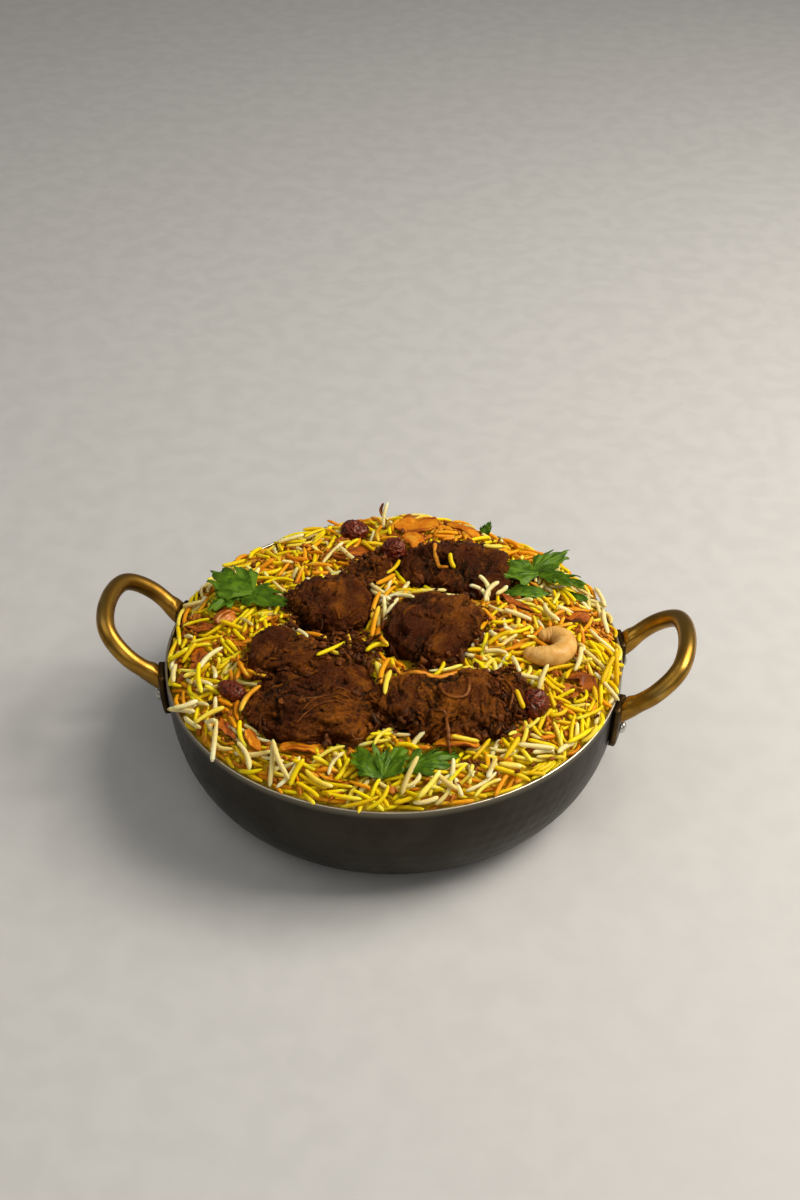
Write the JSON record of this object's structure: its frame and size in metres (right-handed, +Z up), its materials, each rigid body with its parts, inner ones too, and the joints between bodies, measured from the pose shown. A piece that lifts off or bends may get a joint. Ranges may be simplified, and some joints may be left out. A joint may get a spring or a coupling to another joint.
{
  "type": "biryani in a serving pan",
  "caption": "Meat biryani: long-grain yellow and white rice heaped in a round dark steel serving pan, with meat chunks, nuts, raisins, herbs and two brass loop handles.",
  "frame": {"origin": "centre of the pan's flat base, on the surface it stands on", "axes": "+X towards the right handle, +Y towards the back of the pan, +Z up"},
  "size_m": [0.2596, 0.2, 0.079],
  "materials": {
    "pan_steel": "dark satin steel with faint rows of hammered dimples",
    "brass": "worn satin brass",
    "rivet_steel": "plain steel",
    "rice": "cooked long-grain rice, white to saffron yellow, slightly moist",
    "meat": "browned braised meat, fibrous, with oily highlights",
    "cashew": "pale golden fried cashew",
    "stained_nut": "nut stained orange by the spices",
    "raisin": "dark red-brown wrinkled raisin",
    "carrot": "moist orange strip",
    "fried_onion": "crisp brown fried onion",
    "coriander": "fresh green leaf with fine veins"
  },
  "bodies": {
    "root": {"pan_body": "pan_steel", "handle_left": "brass", "handle_right": "brass", "rivet_left_back": "rivet_steel", "rivet_left_front": "rivet_steel", "rivet_right_back": "rivet_steel", "rivet_right_front": "rivet_steel", "rice_heap": "rice", "meat_left": "meat", "meat_front_left": "meat", "meat_back_left": "meat", "meat_ridge": "meat", "meat_back_right": "meat", "meat_centre": "meat", "meat_front_right": "meat", "meat_shreds": "meat", "cashew": "cashew", "stained_nut": "stained_nut", "raisin_right": "raisin", "raisin_left": "raisin", "raisin_back": "raisin", "raisin_dark": "raisin", "carrot_front_right": "carrot", "carrot_front_left": "carrot", "carrot_back": "carrot", "carrot_inner": "carrot", "carrot_back_right": "carrot", "carrot_left": "carrot", "carrot_corner": "carrot", "onion_rim_left": "fried_onion", "onion_left": "fried_onion", "onion_back_left": "fried_onion", "onion_corner": "fried_onion", "onion_right": "fried_onion", "onion_back_right": "fried_onion", "onion_inner_right": "fried_onion", "onion_sliver": "fried_onion", "coriander_left": "coriander", "coriander_right": "coriander", "coriander_right_low": "coriander", "coriander_front_left": "coriander", "coriander_front_right": "coriander", "coriander_chip_right": "coriander", "coriander_chip_back": "coriander"}
  },
  "joints": []
}
